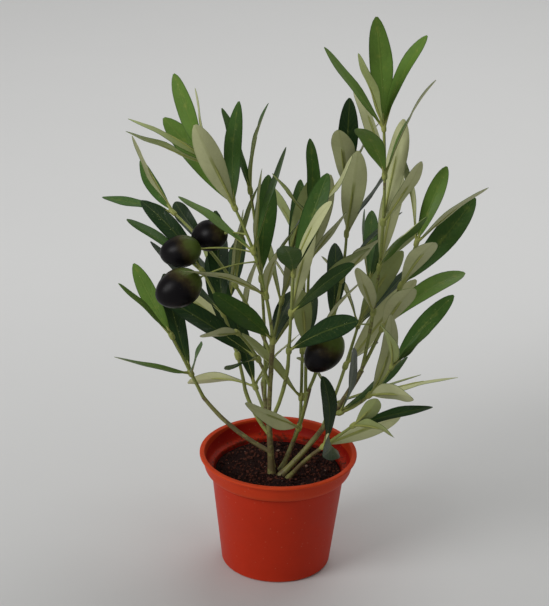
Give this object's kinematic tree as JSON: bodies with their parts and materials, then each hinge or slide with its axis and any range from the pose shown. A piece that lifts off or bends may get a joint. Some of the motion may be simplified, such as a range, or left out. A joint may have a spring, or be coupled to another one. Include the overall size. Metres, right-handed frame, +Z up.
{
  "type": "artificial olive plant in pot",
  "caption": "Small artificial olive plant: thin upright stems with whorls of narrow leaves and a few dark olives, standing in a round plastic pot with a rolled rim band.",
  "frame": {"origin": "centre of the pot's flat underside, on the surface that the plant stands on", "axes": "+Z up the pot's axis, -Y towards the viewer of the side that shows best, +X to that viewer's right"},
  "size_m": [0.212, 0.2021, 0.3219],
  "materials": {
    "pot": "satin moulded plastic",
    "filling": "rough dark crumb",
    "stems": "satin with ribs",
    "foliage": "satin"
  },
  "bodies": {
    "root": {"pot": "pot", "soil": "filling", "trunk": "stems", "bough_left": "stems", "bough_left_inner": "stems", "bough_centre_left": "stems", "bough_centre": "stems", "stem_right": "stems", "stem_right_low": "stems", "stem_back": "stems", "stem_back_left": "stems", "spray_left_low": "foliage", "spray_left_inner": "foliage", "spray_left_top": "foliage", "spray_left_side": "foliage", "spray_left_mid": "foliage", "spray_centre_thin": "foliage", "spray_back_left_top": "foliage", "spray_centre_front": "foliage", "spray_centre_right": "foliage", "spray_back_top": "foliage", "spray_right_tall": "foliage", "spray_right_outer": "foliage", "spray_right_low": "foliage", "spray_right_bottom": "foliage", "spray_centre_low": "foliage", "spray_back_right": "foliage", "spray_back_mid": "foliage", "spray_back_left_low": "foliage"}
  },
  "joints": []
}
